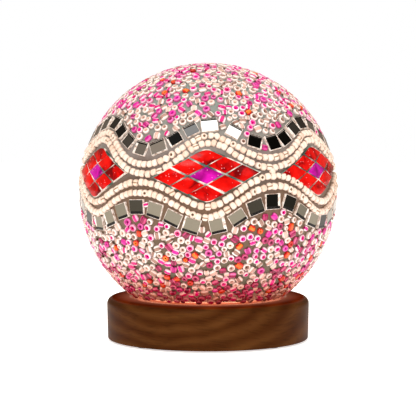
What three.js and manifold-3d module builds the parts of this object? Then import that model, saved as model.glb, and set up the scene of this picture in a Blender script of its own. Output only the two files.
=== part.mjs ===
// Mosaic glass globe lamp on a turned wooden base.
//
// Millimetres, +Z up. The origin is the centre of the plane that the feet stand on, and the
// front of the lamp faces -Y. The base holds a small light unit with a push button and a power
// socket at the back, and the globe rests on a soft ring and lifts off upwards.
//
// Places on the globe are given as longitude and latitude in degrees: longitude 0 is the front,
// and it grows towards +X.

import * as THREE from 'three';
import { mergeVertices } from 'three/addons/utils/BufferGeometryUtils.js';
import Module from 'manifold-3d';

const wasm = await Module();
wasm.setup();

const degree = Math.PI / 180;

// ---------------------------------------------------------------- clearances

const touchGap = 0.3; // left between two pieces that touch
const slideGap = 0.35; // round the button in its housing

// ---------------------------------------------------------------- wooden base

const baseRadius = 62.5;
const baseHeight = 26;
const baseTaper = 0.5; // how much narrower the side is at the bottom
const topRound = 4.3;
const bottomRound = 2.5;
const footStand = 1; // the base stands this far off the table
const footRadius = 4.8;
const footThickness = 2.2;
const footInset = 8.6; // from the side of the base to a foot's centre
const footCount = 4;

const coverThickness = 2;
const coverInset = 15.5; // from the side of the base to the cover's recess
const coverLedge = 5; // width of the ledge that the cover is screwed to
const cavityDepth = 12;
const ledgeThickness = 5; // wood left under the light board

// ---------------------------------------------------------------- globe

const glassRadius = 77.3;
const glassWall = 2;
const lipRadius = 42.6; // of the cut rim that the globe rests on
const skinHeight = 2.2; // how far the mosaic stands off the glass
const skinGap = 0.6; // under the mosaic, wider than a touch because its facets are flat
const bedHeight = 0.8; // adhesive bed under the tiles and mirrors
const bedLift = 0.15; // keeps the flat facets of a bed clear of the glass
const seatProud = 0.2; // seat ring over the wood
const seatDepth = 2.3;
const seatMargin = 1; // seat ring past the lip of the glass

// ---------------------------------------------------------------- mosaic pattern

const repeatCount = 6;
const waistLatitude = 10.9;
const waistGap = 1.2; // between the two bead bands where they meet
const diamondHalfHeight = 14.8;
const diamondTipGap = 8.6; // from a diamond's tip to the middle of the waist
const diamondGap = 1.4; // between a diamond and the bead bands
const tileGap = 0.8;
const tilesPerSide = 3;
const beadBandWidth = 9;
const rowGap = 0.5; // between one row of the mosaic and the next
const mirrorCourseWidth = 9.6;
const mirrorWidth = 8.6;
const mirrorMargin = 0.7; // bed past a mirror's edge
const mirrorPitch = 11.2;
const bareRim = 4.8; // glass left bare above the lip

// ---------------------------------------------------------------- light unit

const lightOpeningRadius = 24;
const boardRadius = 31;
const boardThickness = 1.6;
const boardPocketGap = 2;
const ledCount = 6;
const ledCircle = 14;
const ledSize = 3.5;
const ledHeight = 0.9;
const ledLensRadius = 1.3;
const diffuserRadius = 30;
const diffuserFlange = 3.3; // width of the flange round its foot
const diffuserWall = 1.5;
const diffuserRise = 13; // over the top of the base
const flangeThickness = 1.2;
const collarThickness = 1.5;
const collarPlay = 0.9; // between the collar and the inside of the lip

// ---------------------------------------------------------------- screws

const coverScrew = { head: 2.6, headHeight: 1.3, shank: 1.3, length: 9, count: 4 };
const collarScrew = { head: 1.7, headHeight: 0.9, shank: 0.9, length: 7, count: 3 };
const boardScrew = { head: 2, headHeight: 1.1, shank: 1.1, length: 4.5, count: 3 };
const driverScrew = { head: 1.9, headHeight: 1, shank: 1, length: 3.4, count: 2 };

// ---------------------------------------------------------------- driver board

const driverWidth = 34;
const driverDepth = 24;
const driverThickness = 1.6;
const standoffHeight = 3;
const standoffRadius = 2.6;
const driverScrewInset = 3.6;
const chipWidth = 6;
const chipHeight = 1.4;
const coilRadius = 3.4;
const coilHeight = 3.6;

// ---------------------------------------------------------------- rear fittings

const fittingAngle = 15; // each side of the back
const fittingHeight = 11; // axis over the underside of the wood
const barrelRadius = 6;
const flangeRadius = 8;
const bezelThickness = 1.5;
const spotDepth = 2; // flat seat cut into the round side
const barrelReach = 5; // how far a barrel comes into the cavity

const buttonRadius = 3.4;
const buttonProud = 2.2;
const buttonTravel = 1.5;
const buttonRound = 0.8;
const buttonLip = 1; // lip that holds the button in
const buttonCollar = 0.65; // step behind the lip
const buttonCollarLength = 1.5;
const stemRadius = 1.4;
const stemGap = 0.4;
const springWire = 0.3;
const springCoil = 2.7;
const springLength = 6.7;
const springTurns = 4;
const switchWidth = 9;
const switchHeight = 5;
const switchDepth = 9;

const socketHalfWidth = 4.45; // clear opening of the socket, a flat slot with round ends
const socketHalfHeight = 1.6;
const socketWall = 0.3;
const socketDepth = 8;
const tongueWidth = 6.6;
const tongueThickness = 0.7;

const leadRadius = 0.8;

// ---------------------------------------------------------------- worked-out places

const baseBottom = footStand;
const baseTop = baseBottom + baseHeight;
const coverRecess = baseRadius - coverInset;
const cavityRadius = coverRecess - coverLedge;
const coverRecessDepth = coverThickness + touchGap;
const cavityTop = baseBottom + coverRecessDepth + cavityDepth - touchGap;
const ledgeTop = cavityTop + ledgeThickness;
const boardBottom = ledgeTop + touchGap;
const boardTop = boardBottom + boardThickness;
const pocketRadius = boardRadius + boardPocketGap;
const flangeRecess = diffuserRadius + diffuserFlange + touchGap;
const flangeRecessDepth = flangeThickness + touchGap;

const lipHeight = baseTop + seatProud + touchGap;
const lipDrop = Math.sqrt(glassRadius ** 2 - lipRadius ** 2);
const globeCentre = lipHeight + lipDrop;
const innerRadius = glassRadius - glassWall;
const lipInner = Math.sqrt(innerRadius ** 2 - lipDrop ** 2);
const collarRadius = lipInner - collarPlay;
const seatInner = lipInner - touchGap;
const seatOuter = lipRadius + seatMargin;

const waveColumns = 9 * repeatCount; // facets round every wavy ring, so that their edges agree
const skinInner = glassRadius + skinGap;
const skinOuter = glassRadius + skinHeight;
const bedInner = skinInner + bedLift;
const tileFoot = bedInner + 0.1; // tiles and mirrors sink into their bed down to here

const fittingZ = baseBottom + fittingHeight;
const sideRadius = baseRadius - baseTaper;
const spotFace = sideRadius - spotDepth;
const bezelBack = spotFace + touchGap;
const bezelFront = bezelBack + bezelThickness;
const barrelEnd = cavityRadius - barrelReach;

// ---------------------------------------------------------------- shape helpers

const point = (x, y) => new THREE.Vector2(x, y);

// Positions only, shared corners merged, no collapsed triangles and all faces outwards.
function closedBody(geometry) {
  const plain = geometry.clone();
  plain.deleteAttribute('normal');
  plain.deleteAttribute('uv');
  const merged = mergeVertices(plain, 1e-4);
  const position = merged.attributes.position;
  const corners = merged.index.array;
  const a = new THREE.Vector3();
  const b = new THREE.Vector3();
  const c = new THREE.Vector3();
  const kept = [];
  let volume = 0;
  for (let i = 0; i < corners.length; i += 3) {
    const [p, q, r] = [corners[i], corners[i + 1], corners[i + 2]];
    if (p === q || q === r || r === p) continue;
    a.fromBufferAttribute(position, p);
    b.fromBufferAttribute(position, q);
    c.fromBufferAttribute(position, r);
    volume += a.dot(b.cross(c));
    kept.push(p, q, r);
  }
  if (volume < 0) kept.reverse();
  merged.setIndex(kept);
  return merged;
}

function toSolid(geometry) {
  const body = closedBody(geometry);
  return new wasm.Manifold(new wasm.Mesh({
    numProp: 3,
    vertProperties: new Float32Array(body.attributes.position.array),
    triVerts: new Uint32Array(body.index.array),
  }));
}

function toGeometry(solid) {
  const mesh = solid.getMesh();
  const geometry = new THREE.BufferGeometry();
  geometry.setAttribute('position', new THREE.BufferAttribute(mesh.vertProperties, 3));
  geometry.setIndex(new THREE.BufferAttribute(mesh.triVerts, 1));
  return geometry;
}

function cut(body, tools) {
  return toGeometry(tools.reduce((solid, tool) => solid.subtract(toSolid(tool)), toSolid(body)));
}

function join(pieces) {
  const [first, ...rest] = pieces.map(toSolid);
  return toGeometry(rest.reduce((solid, piece) => solid.add(piece), first));
}

// A profile of radius and height turned round the Z axis.
function turned(profile, segments) {
  return closedBody(new THREE.LatheGeometry(profile, segments).rotateX(Math.PI / 2));
}

function turnedRing(inner, outer, low, high, segments) {
  const start = point(inner, low);
  return turned([start, point(outer, low), point(outer, high), point(inner, high), start], segments);
}

function turnedDisc(radius, low, high, segments) {
  return turned([point(0, low), point(radius, low), point(radius, high), point(0, high)], segments);
}

// Points along a quarter or any other stretch of a circle, ends included.
function arcPoints(x, y, radius, from, to, steps) {
  return Array.from({ length: steps + 1 }, (_, i) => {
    const angle = (from + (to - from) * i / steps) * degree;
    return point(x + radius * Math.cos(angle), y + radius * Math.sin(angle));
  });
}

function block(width, depth, height) {
  return new THREE.BoxGeometry(width, depth, height);
}

// A rod along +Y from one distance to another.
function rodAlongY(radius, from, to, segments) {
  return new THREE.CylinderGeometry(radius, radius, to - from, segments).translate(0, (from + to) / 2, 0);
}

// A flat slot with round ends, run along +Y.
function slotAlongY(halfWidth, halfHeight, from, to) {
  const shape = new THREE.Shape();
  const straight = halfWidth - halfHeight;
  shape.absarc(straight, 0, halfHeight, -Math.PI / 2, Math.PI / 2, false);
  shape.absarc(-straight, 0, halfHeight, Math.PI / 2, 3 * Math.PI / 2, false);
  shape.closePath();
  const slot = new THREE.ExtrudeGeometry(shape, { depth: to - from, bevelEnabled: false, curveSegments: 3 });
  return slot.rotateX(-Math.PI / 2).translate(0, from, 0);
}

function lead(places, sides, steps) {
  const path = new THREE.CatmullRomCurve3(places.map((place) => new THREE.Vector3(...place)));
  const section = new THREE.Shape().absarc(0, 0, leadRadius, 0, 2 * Math.PI, false);
  return new THREE.ExtrudeGeometry(section, { extrudePath: path, steps, curveSegments: sides });
}

function onCircle(radius, count, index, startAngle = 0) {
  const angle = (startAngle + 360 * index / count) * degree;
  return [radius * Math.cos(angle), radius * Math.sin(angle)];
}

// ---------------------------------------------------------------- helpers for the globe

// Degrees of latitude that a length covers on the glass.
const arc = (length) => length / (glassRadius * degree);

// Moves a piece, made with x east, y north and z out from the globe's centre, to its place.
function placeOnGlobe(geometry, longitude, latitude, tilt = 0) {
  const lon = longitude * degree;
  const lat = latitude * degree;
  const east = new THREE.Vector3(Math.cos(lon), Math.sin(lon), 0);
  const out = new THREE.Vector3(Math.cos(lat) * Math.sin(lon), -Math.cos(lat) * Math.cos(lon), Math.sin(lat));
  const north = new THREE.Vector3().crossVectors(out, east);
  const place = new THREE.Matrix4().makeBasis(east, north, out).setPosition(0, 0, globeCentre);
  return geometry.rotateZ(tilt * degree).applyMatrix4(place);
}

// A shell round the globe between two edges that may wave with longitude.
function globeShell({ low, high, inner, outer, rows, columns, closesAtPole }) {
  const span = closesAtPole ? 90 : 60;
  const inside = arcPoints(0, 0, inner, span, 0, rows);
  const outside = arcPoints(0, 0, outer, 0, span, rows);
  const profile = [...inside, ...outside];
  if (closesAtPole) {
    profile[0].x = 0;
    profile[profile.length - 1].x = 0;
  } else {
    profile.push(profile[0].clone());
  }
  const shell = turned(profile, columns);
  const position = shell.attributes.position;
  const place = new THREE.Vector3();
  for (let i = 0; i < position.count; i += 1) {
    place.fromBufferAttribute(position, i);
    const radius = place.length();
    const share = Math.asin(place.z / radius) / degree / span;
    const lon = Math.atan2(place.x, -place.y);
    const longitude = lon / degree;
    const latitude = (low(longitude) + share * (high(longitude) - low(longitude))) * degree;
    const across = radius * Math.cos(latitude);
    position.setXYZ(i, across * Math.sin(lon), -across * Math.cos(lon), radius * Math.sin(latitude));
  }
  return closedBody(shell.translate(0, 0, globeCentre));
}

// A line of latitude that swings out over each diamond and back in at each waist.
function waveLine(side, offset) {
  const crest = arc(diamondHalfHeight + diamondGap + offset);
  const waist = arc(waistGap / 2 + offset);
  return (longitude) => {
    const swell = (1 + Math.cos(repeatCount * longitude * degree)) / 2;
    return waistLatitude + side * (waist + (crest - waist) * swell);
  };
}

// Evenly spaced places along such a line, each with its slope.
function placesAlong(line, pitch) {
  const samples = 720;
  const turn = 360 / samples;
  const travelled = [0];
  for (let i = 1; i <= samples; i += 1) {
    const rise = line(i * turn) - line((i - 1) * turn);
    const run = turn * Math.cos(line(i * turn) * degree);
    travelled.push(travelled[i - 1] + Math.hypot(rise, run));
  }
  const total = travelled[samples];
  const count = Math.floor(total / arc(pitch));
  return Array.from({ length: count }, (_, k) => {
    const target = total * (k + 0.5) / count;
    const after = travelled.findIndex((length) => length > target);
    const longitude = (after - 0.5) * turn;
    const latitude = line(longitude);
    const rise = line(longitude + turn) - line(longitude - turn);
    const slope = Math.atan2(rise, 2 * turn * Math.cos(latitude * degree)) / degree;
    return { longitude, latitude, slope };
  });
}

// ---------------------------------------------------------------- scene

const lamp = new THREE.Group();
const rearButton = new THREE.Group();
const rearSocket = new THREE.Group();
rearButton.rotation.z = fittingAngle * degree;
rearSocket.rotation.z = -fittingAngle * degree;
rearButton.position.z = fittingZ;
rearSocket.position.z = fittingZ;
lamp.add(rearButton, rearSocket);

const finish = {
  walnut: { color: 0x6a4426, roughness: 0.45, metalness: 0 },
  rubber: { color: 0x1c1c1e, roughness: 0.9, metalness: 0 },
  silicone: { color: 0xe9e2da, roughness: 0.5, metalness: 0 },
  blackPlastic: { color: 0x202022, roughness: 0.5, metalness: 0 },
  opal: { color: 0xf6f2ea, roughness: 0.4, metalness: 0 },
  steel: { color: 0xb9bcc0, roughness: 0.3, metalness: 1 },
  brass: { color: 0xc7a04e, roughness: 0.3, metalness: 1 },
  board: { color: 0xe8ebe6, roughness: 0.5, metalness: 0 },
  driver: { color: 0x1f5a38, roughness: 0.5, metalness: 0 },
  led: { color: 0xf4d98a, roughness: 0.3, metalness: 0 },
  wire: { color: 0xa02020, roughness: 0.5, metalness: 0 },
  glass: { color: 0xd8dede, roughness: 0.08, metalness: 0 },
  beads: { color: 0xd9a9b8, roughness: 0.2, metalness: 0 },
  creamBeads: { color: 0xf0e8dc, roughness: 0.2, metalness: 0 },
  mirror: { color: 0xb5bbbd, roughness: 0.05, metalness: 1 },
  redGlass: { color: 0xd81820, roughness: 0.1, metalness: 0 },
  magentaGlass: { color: 0xc020b0, roughness: 0.1, metalness: 0 },
};

function addPiece(name, geometry, look, parent = lamp) {
  const mesh = new THREE.Mesh(closedBody(geometry), new THREE.MeshStandardMaterial(look));
  mesh.name = name;
  parent.add(mesh);
  return mesh;
}

// ---------------------------------------------------------------- screws

// A pan-head screw, its head's underside at height 0 and its tip downwards.
function screwShape({ head, headHeight, shank, length }) {
  const recess = head * 0.4;
  return turned([
    point(0, -length),
    point(shank, -length + shank),
    point(shank, 0),
    point(head, 0),
    point(head * 0.8, headHeight),
    point(recess, headHeight),
    point(0, headHeight * 0.4),
  ], 8);
}

// The hole that a screw's shank goes through or into.
function screwHole({ shank }, low, high) {
  return turnedDisc(shank + touchGap, low, high, 8);
}

// ---------------------------------------------------------------- places of the screws

const coverScrewCircle = coverRecess - coverLedge / 2;
const collarScrewCircle = (flangeRecess + seatInner) / 2;
const boardScrewCircle = (lightOpeningRadius + boardRadius) / 2;
const footCircle = baseRadius - footInset;

const coverScrewPlaces = Array.from({ length: coverScrew.count }, (_, i) =>
  onCircle(coverScrewCircle, coverScrew.count, i, 0));
const collarScrewPlaces = Array.from({ length: collarScrew.count }, (_, i) =>
  onCircle(collarScrewCircle, collarScrew.count, i, -90));
const boardScrewPlaces = Array.from({ length: boardScrew.count }, (_, i) =>
  onCircle(boardScrewCircle, boardScrew.count, i, 90));
const footPlaces = Array.from({ length: footCount }, (_, i) =>
  onCircle(footCircle, footCount, i, 45));

const holesAt = (places, screw, low, high) =>
  places.map(([x, y]) => screwHole(screw, low, high).translate(x, y, 0));

// ---------------------------------------------------------------- base

function woodenBase() {
  const grooveIn = seatInner - touchGap;
  const grooveOut = seatOuter + touchGap;
  const recessTop = baseBottom + coverRecessDepth;
  const start = point(coverRecess, baseBottom);
  const profile = [
    start,
    ...arcPoints(sideRadius - bottomRound, baseBottom + bottomRound, bottomRound, -90, 0, 2),
    ...arcPoints(baseRadius - topRound, baseTop - topRound, topRound, 0, 90, 4),
    point(grooveOut, baseTop),
    point(grooveOut, baseTop - seatDepth),
    point(grooveIn, baseTop - seatDepth),
    point(grooveIn, baseTop),
    point(flangeRecess, baseTop),
    point(flangeRecess, baseTop - flangeRecessDepth),
    point(pocketRadius, baseTop - flangeRecessDepth),
    point(pocketRadius, ledgeTop),
    point(lightOpeningRadius, ledgeTop),
    point(lightOpeningRadius, cavityTop),
    point(cavityRadius, cavityTop),
    point(cavityRadius, recessTop),
    point(coverRecess, recessTop),
    start,
  ];
  const coverHoleTop = recessTop + coverScrew.length;
  const tools = [
    ...holesAt(coverScrewPlaces, coverScrew, recessTop - 1, coverHoleTop),
    ...holesAt(collarScrewPlaces, collarScrew, baseTop - collarScrew.length, baseTop + 1),
    ...holesAt(boardScrewPlaces, boardScrew, ledgeTop - boardScrew.length, ledgeTop + 1),
    ...footPlaces.map(([x, y]) =>
      turnedDisc(footRadius + touchGap, baseBottom - 1, footThickness + touchGap, 12).translate(x, y, 0)),
  ];
  for (const angle of [fittingAngle, -fittingAngle]) {
    const bore = rodAlongY(barrelRadius + touchGap, barrelEnd, baseRadius + 1, 16);
    const spot = rodAlongY(flangeRadius + touchGap, spotFace, baseRadius + 1, 20);
    for (const tool of [bore, spot]) tools.push(tool.translate(0, 0, fittingZ).rotateZ(angle * degree));
  }
  return cut(turned(profile, 40), tools);
}

addPiece('wooden_base', woodenBase(), finish.walnut);

footPlaces.forEach(([x, y], i) => {
  const foot = turned([
    point(0, 0),
    point(footRadius - 0.5, 0),
    point(footRadius, 0.5),
    point(footRadius, footThickness),
    point(0, footThickness),
  ], 12);
  addPiece(`rubber_foot_${i + 1}`, foot.translate(x, y, 0), finish.rubber);
});

// ---------------------------------------------------------------- cover and driver board

const coverTop = baseBottom + coverThickness;
const driverBottom = coverTop + standoffHeight + touchGap;
const driverTop = driverBottom + driverThickness;
const driverScrewPlaces = [-1, 1].map((side) => [
  side * (driverWidth / 2 - driverScrewInset),
  -driverDepth / 2 + driverScrewInset,
]);

function baseCover() {
  const plate = turnedDisc(coverRecess - touchGap, baseBottom, coverTop, 36);
  const standoffs = driverScrewPlaces.map(([x, y]) =>
    turnedDisc(standoffRadius, coverTop - coverThickness / 2, coverTop + standoffHeight, 10).translate(x, y, 0));
  const sink = coverScrewPlaces.map(([x, y]) =>
    turnedDisc(coverScrew.head + touchGap, baseBottom - 1, baseBottom + coverScrew.headHeight, 10)
      .translate(x, y, 0));
  const pilotLow = driverTop - driverScrew.length;
  return cut(join([plate, ...standoffs]), [
    ...sink,
    ...holesAt(coverScrewPlaces, coverScrew, baseBottom - 1, coverTop + 1),
    ...holesAt(driverScrewPlaces, driverScrew, pilotLow, driverTop),
  ]);
}

addPiece('base_cover', baseCover(), finish.blackPlastic);

coverScrewPlaces.forEach(([x, y], i) => {
  const headSeat = baseBottom + coverScrew.headHeight - touchGap;
  const screw = screwShape(coverScrew).rotateX(Math.PI).translate(x, y, headSeat);
  addPiece(`cover_screw_${i + 1}`, screw, finish.steel);
});

const driverBlank = block(driverWidth, driverDepth, driverThickness)
  .translate(0, 0, (driverBottom + driverTop) / 2);
addPiece('driver_board',
  cut(driverBlank, holesAt(driverScrewPlaces, driverScrew, driverBottom - 1, driverTop + 1)), finish.driver);

driverScrewPlaces.forEach(([x, y], i) => {
  const screw = screwShape(driverScrew).translate(x, y, driverTop + touchGap);
  addPiece(`driver_screw_${i + 1}`, screw, finish.steel);
});

const partsSeat = driverTop + touchGap;
addPiece('driver_chip', block(chipWidth, chipWidth, chipHeight)
  .translate(-driverWidth / 5, 0, partsSeat + chipHeight / 2), finish.blackPlastic);
addPiece('driver_coil', turned([
  point(0, partsSeat),
  point(coilRadius, partsSeat),
  point(coilRadius, partsSeat + coilHeight * 0.8),
  point(coilRadius * 0.8, partsSeat + coilHeight),
  point(0, partsSeat + coilHeight),
], 12).translate(driverWidth / 5, 0, 0), finish.rubber);

// ---------------------------------------------------------------- light unit

addPiece('light_board', cut(
  turnedDisc(boardRadius, boardBottom, boardTop, 30),
  holesAt(boardScrewPlaces, boardScrew, boardBottom - 1, boardTop + 1),
), finish.board);

boardScrewPlaces.forEach(([x, y], i) => {
  addPiece(`board_screw_${i + 1}`, screwShape(boardScrew).translate(x, y, boardTop + touchGap), finish.steel);
});

for (let i = 0; i < ledCount; i += 1) {
  const seat = boardTop + touchGap;
  const body = block(ledSize, ledSize, ledHeight).translate(0, 0, seat + ledHeight / 2);
  const lens = turned([
    point(0, seat + ledHeight / 2),
    ...arcPoints(0, seat + ledHeight, ledLensRadius, 0, 90, 2).slice(0, -1),
    point(0, seat + ledHeight + ledLensRadius),
  ], 8);
  const [x, y] = onCircle(ledCircle, ledCount, i);
  addPiece(`led_${i + 1}`, join([body, lens]).rotateZ(60 * i * degree).translate(x, y, 0), finish.led);
}

function diffuser() {
  const flangeLow = baseTop - flangeThickness;
  const rise = baseTop + diffuserRise - flangeLow;
  const dome = (radius, height, from, to) => Array.from({ length: 6 }, (_, i) => {
    const angle = (from + (to - from) * i / 5) * degree;
    return point(radius * Math.cos(angle), flangeLow + height * Math.sin(angle));
  });
  const inside = dome(diffuserRadius - diffuserWall, rise - diffuserWall, 90, 0);
  const outside = dome(diffuserRadius, rise, 0, 90);
  const flangeEdge = diffuserRadius + diffuserFlange;
  inside[0].x = 0;
  outside[outside.length - 1].x = 0;
  return turned([
    ...inside,
    point(flangeEdge, flangeLow),
    point(flangeEdge, baseTop),
    point(outside[0].x, baseTop),
    ...outside.slice(1),
  ], 28);
}

addPiece('opal_diffuser', diffuser(), finish.opal);

const collarLow = baseTop + touchGap;
const collarTop = collarLow + collarThickness;
addPiece('diffuser_collar', cut(
  turnedRing(diffuserRadius + touchGap, collarRadius, collarLow, collarTop, 36),
  holesAt(collarScrewPlaces, collarScrew, collarLow - 1, collarTop + 1),
), finish.brass);

collarScrewPlaces.forEach(([x, y], i) => {
  addPiece(`collar_screw_${i + 1}`, screwShape(collarScrew).translate(x, y, collarTop + touchGap), finish.brass);
});

addPiece('seat_ring',
  turnedRing(seatInner, seatOuter, baseTop - seatDepth + touchGap, baseTop + seatProud, 36), finish.silicone);

// ---------------------------------------------------------------- rear button

const buttonBore = buttonRadius + slideGap;
const collarBore = buttonRadius + buttonCollar + slideGap;
const lipBack = bezelFront - buttonLip;
const collarFront = lipBack - touchGap;
const collarBack = collarFront - buttonCollarLength;
const springFoot = collarBack - touchGap - springLength;
const shoulder = springFoot - touchGap;
const switchFront = barrelEnd - touchGap;
const stemEnd = barrelEnd + touchGap;
const switchPocket = stemEnd - buttonTravel - 2 * touchGap;

function fittingBody() {
  const barrel = rodAlongY(barrelRadius, barrelEnd, bezelFront - bezelThickness / 2, 16);
  const bezel = rodAlongY(flangeRadius, bezelBack, bezelFront, 20);
  return join([barrel, bezel]);
}

addPiece('button_housing', cut(fittingBody(), [
  rodAlongY(buttonBore, lipBack - 1, bezelFront + 1, 16),
  rodAlongY(collarBore, shoulder, lipBack, 16),
  rodAlongY(stemRadius + stemGap, barrelEnd - 1, shoulder + 1, 10),
]), finish.blackPlastic, rearButton);

function pushButton() {
  const front = bezelFront + buttonProud;
  const profile = [
    point(0, stemEnd),
    point(stemRadius, stemEnd),
    point(stemRadius, collarBack),
    point(buttonRadius + buttonCollar, collarBack),
    point(buttonRadius + buttonCollar, collarFront),
    point(buttonRadius, collarFront),
    ...arcPoints(buttonRadius - buttonRound, front - buttonRound, buttonRound, 0, 90, 2),
    point(0, front),
  ];
  return turned(profile, 16).rotateX(-Math.PI / 2);
}

addPiece('push_button', pushButton(), finish.steel, rearButton);

class SpringPath extends THREE.Curve {
  getPoint(share, target = new THREE.Vector3()) {
    const angle = share * springTurns * 2 * Math.PI;
    const along = springFoot + springWire + share * (springLength - 2 * springWire);
    return target.set(springCoil * Math.cos(angle), along, springCoil * Math.sin(angle));
  }
}

addPiece('button_spring', new THREE.ExtrudeGeometry(
  new THREE.Shape().absarc(0, 0, springWire, 0, 2 * Math.PI, false),
  { extrudePath: new SpringPath(), steps: springTurns * 9, curveSegments: 2 },
), finish.steel, rearButton);

addPiece('switch_block', cut(
  block(switchWidth, switchDepth, switchHeight).translate(0, switchFront - switchDepth / 2, 0),
  [rodAlongY(stemRadius + stemGap, switchPocket, switchFront + 1, 10)],
), finish.blackPlastic, rearButton);

// ---------------------------------------------------------------- rear power socket

const shellHalfWidth = socketHalfWidth + socketWall;
const shellHalfHeight = socketHalfHeight + socketWall;
const shellBack = bezelFront - socketDepth;

addPiece('socket_housing', cut(fittingBody(), [
  slotAlongY(shellHalfWidth + touchGap, shellHalfHeight + touchGap, shellBack - touchGap, bezelFront + 1),
  rodAlongY(leadRadius + 2 * touchGap, barrelEnd - 1, shellBack, 10),
]), finish.blackPlastic, rearSocket);

addPiece('power_socket', cut(
  slotAlongY(shellHalfWidth, shellHalfHeight, shellBack, bezelFront),
  [slotAlongY(socketHalfWidth, socketHalfHeight, shellBack + 2 * socketWall, bezelFront + 1)],
), finish.steel, rearSocket);

const tongueBack = shellBack + 2 * socketWall + touchGap;
const tongueFront = bezelFront - 1;
addPiece('socket_tongue', block(tongueWidth, tongueFront - tongueBack, tongueThickness)
  .translate(0, (tongueBack + tongueFront) / 2, 0), finish.blackPlastic, rearSocket);

// ---------------------------------------------------------------- inner leads

// A point of a rear fitting, given along its own axis, in the lamp's frame.
function behind(angle, distance, height) {
  return [-distance * Math.sin(angle * degree), distance * Math.cos(angle * degree), height];
}

const leadFoot = driverTop + touchGap;
const boardEdge = driverDepth / 2 - 2;

addPiece('light_lead', lead([
  [0, -6, leadFoot],
  [0, -7, leadFoot + 3],
  [2, -9, boardBottom - 3],
  [2, -9, boardBottom - touchGap],
], 3, 8), finish.wire);

addPiece('socket_lead', lead([
  behind(-fittingAngle, shellBack - 2 * touchGap, fittingZ),
  behind(-fittingAngle, barrelEnd, fittingZ),
  behind(-fittingAngle, (barrelEnd + boardEdge) / 2, fittingZ),
  [boardEdge / 2, boardEdge, leadFoot + 1.5],
  [boardEdge / 2, boardEdge - 1, leadFoot],
], 3, 14), finish.wire);

const switchBack = switchFront - switchDepth;
addPiece('switch_lead', lead([
  behind(fittingAngle, switchBack - touchGap, fittingZ),
  behind(fittingAngle, switchBack - 3, fittingZ),
  [-boardEdge / 2, boardEdge, leadFoot + 1.5],
  [-boardEdge / 2, boardEdge - 1, leadFoot],
], 3, 10), finish.wire);

// ---------------------------------------------------------------- glass globe

const outerLip = -Math.asin(lipDrop / glassRadius) / degree;

function glassGlobe() {
  const innerLip = -Math.asin(lipDrop / innerRadius) / degree;
  const inside = arcPoints(0, globeCentre, innerRadius, 90, innerLip, 9);
  const outside = arcPoints(0, globeCentre, glassRadius, outerLip, 90, 11);
  inside[0].x = 0;
  outside[outside.length - 1].x = 0;
  return turned([...inside, ...outside], 40);
}

addPiece('glass_globe', glassGlobe(), finish.glass);

// ---------------------------------------------------------------- bead skins

const bandOuter = beadBandWidth;
const courseInner = bandOuter + rowGap;
const courseOuter = courseInner + mirrorCourseWidth;
const fieldInner = courseOuter + rowGap;

for (const [name, side] of [['upper_bead_band', 1], ['lower_bead_band', -1]]) {
  const edges = [waveLine(side, 0), waveLine(side, bandOuter)];
  if (side < 0) edges.reverse();
  addPiece(name, globeShell({
    low: edges[0], high: edges[1], inner: skinInner, outer: skinOuter, rows: 1, columns: waveColumns,
  }), finish.creamBeads);
}

addPiece('upper_bead_field', globeShell({
  low: waveLine(1, fieldInner),
  high: () => 90,
  inner: skinInner,
  outer: skinOuter,
  rows: 7,
  columns: waveColumns,
  closesAtPole: true,
}), finish.beads);

addPiece('lower_bead_field', globeShell({
  low: () => outerLip + arc(bareRim),
  high: waveLine(-1, fieldInner),
  inner: skinInner,
  outer: skinOuter,
  rows: 6,
  columns: waveColumns,
}), finish.beads);

// ---------------------------------------------------------------- mirror courses

function mirrorCourse(side) {
  const edges = [waveLine(side, courseInner), waveLine(side, courseOuter)];
  if (side < 0) edges.reverse();
  const bed = globeShell({
    low: edges[0], high: edges[1], inner: bedInner, outer: bedInner + bedHeight, rows: 1, columns: waveColumns,
  });
  const middle = waveLine(side, (courseInner + courseOuter) / 2);
  const thickness = skinOuter - tileFoot;
  const plates = placesAlong(middle, mirrorPitch).map(({ longitude, latitude, slope }) => {
    const height = (mirrorCourseWidth - 2 * mirrorMargin) * Math.cos(slope * degree);
    const plate = block(mirrorWidth, height, thickness).translate(0, 0, skinOuter - thickness / 2);
    return placeOnGlobe(plate, longitude, latitude, slope);
  });
  return join([bed, ...plates]);
}

addPiece('upper_mirror_course', mirrorCourse(1), finish.mirror);
addPiece('lower_mirror_course', mirrorCourse(-1), finish.mirror);

// ---------------------------------------------------------------- diamonds

const halfRepeat = 180 / repeatCount;
const diamondHalfLongitude = halfRepeat - arc(diamondTipGap) / Math.cos(waistLatitude * degree);
const diamondHalfLatitude = arc(diamondHalfHeight);
const tileHalfWidth = (diamondHalfLongitude / arc(1)) * Math.cos(waistLatitude * degree) / tilesPerSide;
const tileHalfHeight = diamondHalfHeight / tilesPerSide;
const tileInradius = tileHalfWidth * tileHalfHeight / Math.hypot(tileHalfWidth, tileHalfHeight);

// A flat four-sided plate whose edges stand back from the pitch lines by a margin.
function tilePlate(margin, low, high) {
  const scale = 1 - margin / tileInradius;
  const shape = new THREE.Shape([
    point(tileHalfWidth * scale, 0),
    point(0, tileHalfHeight * scale),
    point(-tileHalfWidth * scale, 0),
    point(0, -tileHalfHeight * scale),
  ]);
  return new THREE.ExtrudeGeometry(shape, { depth: high - low, bevelEnabled: false }).translate(0, 0, low);
}

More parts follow.
